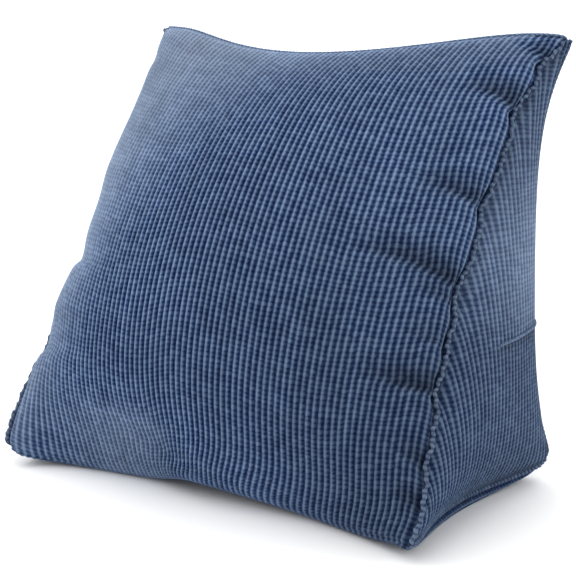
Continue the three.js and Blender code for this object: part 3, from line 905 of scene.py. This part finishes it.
def pile_tone(tree, ridge, gap, per_kernel, fuzz, nap_and_painted_light):
    """Tone of the pile: pale ridges, and grooves dotted with the dark gaps between kernels, a
    dark that is partly the ground's own colour and partly painted shade. The nap and painted
    light fill the grooves and hide the dots, and some kernels and fibres are lighter. The first
    output is the tone without those last two, which the bump reads too."""
    filled = node(tree, RANGE, {0: nap_and_painted_light, 2: 0.5, 3: 0.0, 4: FILL_MOST})
    floor_tone = node(tree, MATH, {0: filled, 1: FLOOR_FILL, 2: FLOOR_TONE},
                      operation="MULTIPLY_ADD")
    groove = node(tree, MATH, {0: 1.0, 1: ridge}, operation="SUBTRACT")
    brushed = node(tree, MATH, {0: floor_tone, 1: groove, 2: ridge}, operation="MULTIPLY_ADD")
    weight = node(tree, RANGE, {0: ridge, 3: DOT_GROOVE, 4: DOT_RIDGE})
    shown = node(tree, MATH, {0: filled, 1: DOT_HIDDEN, 2: 1.0}, operation="MULTIPLY_ADD")
    dots = node(tree, MATH, {0: gap, 1: weight}, operation="MULTIPLY")
    dots = node(tree, MATH, {0: dots, 1: shown}, operation="MULTIPLY")
    between = node(tree, MATH, {0: 1.0, 1: dots}, operation="SUBTRACT")
    lump = node(tree, MATH, {0: brushed, 1: between}, operation="MULTIPLY")
    uneven = node(tree, RANGE, {0: per_kernel, 3: -KERNEL_UNEVEN, 4: KERNEL_UNEVEN})
    tone = node(tree, MATH, {0: lump, 1: uneven}, operation="ADD")
    fibres = node(tree, RANGE, {0: fuzz, 3: -FIBRE_UNEVEN, 4: FIBRE_UNEVEN})
    return lump, node(tree, MATH, {0: tone, 1: fibres}, operation="ADD")


def tone_colour(tree, tone):
    """The pile's colour for its tone: four colours of the tufts from their roots to the tips."""
    colour = node(tree, "ShaderNodeValToRGB", {0: tone})
    stops = colour.node.color_ramp.elements
    stops[0].position, stops[0].color = 0.02, linear(GROUND)
    stops[1].position, stops[1].color = 1.0, linear(TUFT_TIP)
    for position, code in ((0.32, TUFT_LOW), (0.66, TUFT)):
        stops.new(position).color = linear(code)
    return colour


print("tones from", GROUND, "to", TUFT_TIP)

# %% Wear of the corduroy
# Sizes of one streak and one band in ribs and kernels, and of the clouds and the fuzz in mm.
STREAK_RIBS, STREAK_KERNELS, BAND_RIBS, BAND_KERNELS = 2.0, 50.0, 33.0, 2.86
CLOUD, FUZZ = 91.0, 1.43
WORN_FROM, WORN_TO, WORN_DARK, WORN_PALE = 0.9, 2.1, 0.78, 1.34


def wear(tree, cloth_place, place):
    """Streaks along the ribs, bands across them and slow clouds, where the tufts lie
    differently: the sum of three noises, as a factor for the colour."""
    streaks = node(tree, "ShaderNodeMapping",
                   {0: cloth_place, 3: (1 / STREAK_RIBS, 1 / STREAK_KERNELS, 1.0)})
    streaks = node(tree, NOISE, {"Vector": streaks, "Scale": 1.0, "Detail": 2.0})
    bands = node(tree, "ShaderNodeMapping",
                 {0: cloth_place, 3: (1 / BAND_RIBS, 1 / BAND_KERNELS, 1.0)})
    bands = node(tree, NOISE, {"Vector": bands, "Scale": 1.0, "Detail": 2.0})
    clouds = node(tree, NOISE, {"Vector": place, "Scale": 1 / (CLOUD * MM), "Detail": 3.0})
    worn = node(tree, MATH, {0: streaks, 1: bands}, operation="ADD")
    worn = node(tree, MATH, {0: worn, 1: clouds}, operation="ADD")
    return node(tree, RANGE, {0: worn, 1: WORN_FROM, 2: WORN_TO, 3: WORN_DARK, 4: WORN_PALE})


print("streaks are", STREAK_RIBS, "ribs wide and", STREAK_KERNELS * KERNEL, "mm long")

# %% The corduroy itself
SHADE_BASE, BUMP_STRENGTH, BUMP_MM, FUZZ_BUMP = 3.2, 0.6, 1.1, 0.3


def corduroy(name):
    """Chenille corduroy. Its colour is the pile's, mixed towards a pale colour as painted light
    and sheen where the painted light is high, times the wear, times 3.2 ** shade, the painted
    shade."""
    made = bpy.data.materials.new(name)
    made.use_nodes = True
    tree = made.node_tree
    tree.nodes.clear()
    cloth_place = node(tree, "ShaderNodeUVMap", uv_map="cloth")
    ribs = node(tree, "ShaderNodeSeparateXYZ", {0: cloth_place})
    kernels = ribs.node.outputs[1]
    nap_and_painted_light = node(tree, "ShaderNodeAttribute", attribute_name="nap_and_painted_light").node.outputs["Fac"]
    shaded = node(tree, "ShaderNodeAttribute", attribute_name="shade").node.outputs["Fac"]
    place = node(tree, "ShaderNodeTexCoord").node.outputs["Object"]
    fuzz = node(tree, NOISE, {"Vector": place, "Scale": 1 / (FUZZ * MM), "Detail": 2.0})

    ridge, gap, per_kernel = kernel_pattern(tree, cloth_place, ribs, kernels)
    lump, tone = pile_tone(tree, ridge, gap, per_kernel, fuzz, nap_and_painted_light)
    pale = node(tree, RANGE, {0: nap_and_painted_light, 1: PAINTED_LIGHT_FROM, 2: 0.9, 3: 0.0, 4: PAINTED_LIGHT_SHARE})
    colour = node(tree, "ShaderNodeMixRGB",
                  {0: pale, 1: tone_colour(tree, tone), 2: linear(PAINTED_LIGHT_COLOUR)})
    # darker is the painted shade, and it multiplies the wear factor.
    darker = node(tree, MATH, {0: SHADE_BASE, 1: shaded}, operation="POWER")
    worn = node(tree, MATH, {0: wear(tree, cloth_place, place), 1: darker}, operation="MULTIPLY")
    colour = node(tree, "ShaderNodeVectorMath", {0: colour, 1: worn}, operation="MULTIPLY")

    height = node(tree, MATH, {0: fuzz, 1: FUZZ_BUMP, 2: lump}, operation="MULTIPLY_ADD")
    bump = node(tree, "ShaderNodeBump",
                {"Strength": BUMP_STRENGTH, "Distance": BUMP_MM * MM, "Height": height})
    shader = node(tree, "ShaderNodeBsdfPrincipled", {
        "Base Color": colour, "Roughness": 0.92, "IOR": 1.5, "Specular IOR Level": 0.15,
        "Sheen Weight": 0.35, "Sheen Roughness": 0.4, "Sheen Tint": linear("#9CB8EA"),
        "Normal": bump})
    node(tree, "ShaderNodeOutputMaterial", {0: shader})
    return made


cloth_finish = corduroy("chenille_corduroy")
for piece in (cushion, ridge, closure):
    piece.data.materials.append(cloth_finish)
print("corduroy:", len(cloth_finish.node_tree.nodes), "nodes")

# %% [markdown]
# ## Floor, light and camera
#
# The pillow stands on plain matt white paper. A curved studio sweep would do as well, but a
# floor wide enough to run past every view is simpler. The light is soft, as in a studio tent:
# an even white world, a broad lamp high on the left and a small softbox that lifts the right
# side panel. The camera stands where the ears of the sewn cover fall in their right places.

# %% Floor
FLOOR_HALF = 45000.0


def plain(name, code, roughness):
    """A material of one colour."""
    made = bpy.data.materials.new(name)
    made.use_nodes = True
    shader = made.node_tree.nodes["Principled BSDF"]
    shader.inputs["Base Color"].default_value = linear(code)
    shader.inputs["Roughness"].default_value = roughness
    return made


corners = np.array([[-1, -1, 0], [1, -1, 0], [1, 1, 0], [-1, 1, 0]]) * FLOOR_HALF
floor = make_mesh("floor", corners, [np.array([[0, 1, 2, 3]])])
floor.data.materials.append(plain("matt_white_paper", "#FAFAFA", 0.9))
print("floor:", 2 * FLOOR_HALF * MM, "m wide")

# %% Light
WORLD_STRENGTH = 0.82
OVERHEAD_AIM, OVERHEAD_STRENGTH, OVERHEAD_SPREAD = (0.62, -0.12, -0.78), 2.95, 110
SIDE_PLACE, SIDE_TARGET, SIDE_SIZE, SIDE_WATTS = (1.5, 0.7, 0.9), (0, 0, 0.2), 0.9, 6

world = bpy.data.worlds.new("soft_studio")
world.use_nodes = True
world.node_tree.nodes["Background"].inputs[0].default_value = (1, 1, 1, 1)
world.node_tree.nodes["Background"].inputs[1].default_value = WORLD_STRENGTH
bpy.context.scene.world = world


def lamp(name, kind, aim, place, **settings):
    """A light of one kind at a place in metres, turned to shine along its aim."""
    data = bpy.data.lights.new(name, kind)
    for setting, value in settings.items():
        setattr(data, setting, value)
    made = bpy.data.objects.new(name, data)
    turned = Vector(aim).to_track_quat("-Z", "Y").to_matrix().to_4x4()
    made.matrix_world = Matrix.Translation(place) @ turned
    bpy.context.scene.collection.objects.link(made)
    return made


lamp("overhead", "SUN", OVERHEAD_AIM, (0, 0, 0), energy=OVERHEAD_STRENGTH,
     angle=math.radians(OVERHEAD_SPREAD))
lamp("side", "AREA", Vector(SIDE_TARGET) - Vector(SIDE_PLACE), SIDE_PLACE, shape="SQUARE",
     size=SIDE_SIZE, energy=SIDE_WATTS)
print("lights:", [light.name for light in bpy.data.lights])

# %% Camera
CAMERA_TURN, CAMERA_DIP = math.radians(35.42), math.radians(14.88)
CAMERA_PLACE = np.array([835.0, -1146.5, 543.5])
FOCAL_PIXELS, FRAME_PIXELS, SENSOR = 1671.0, 576, 36.0

look = Vector((-math.sin(CAMERA_TURN) * math.cos(CAMERA_DIP),
               math.cos(CAMERA_TURN) * math.cos(CAMERA_DIP), -math.sin(CAMERA_DIP)))
aside = Vector((math.cos(CAMERA_TURN), math.sin(CAMERA_TURN), 0))
data = bpy.data.cameras.new("camera")
data.sensor_width, data.lens = SENSOR, SENSOR * FOCAL_PIXELS / FRAME_PIXELS
data.clip_end = 100
camera = bpy.data.objects.new("camera", data)
turn = Matrix((aside, aside.cross(look), -look)).transposed().to_4x4()
camera.matrix_world = Matrix.Translation((CAMERA_PLACE + [0, SHIFT_Y, 0]) * MM) @ turn
bpy.context.scene.collection.objects.link(camera)
bpy.context.scene.camera = camera
bpy.context.scene.view_settings.view_transform = "Standard"
print("camera's lens:", round(data.lens, 1), "mm")
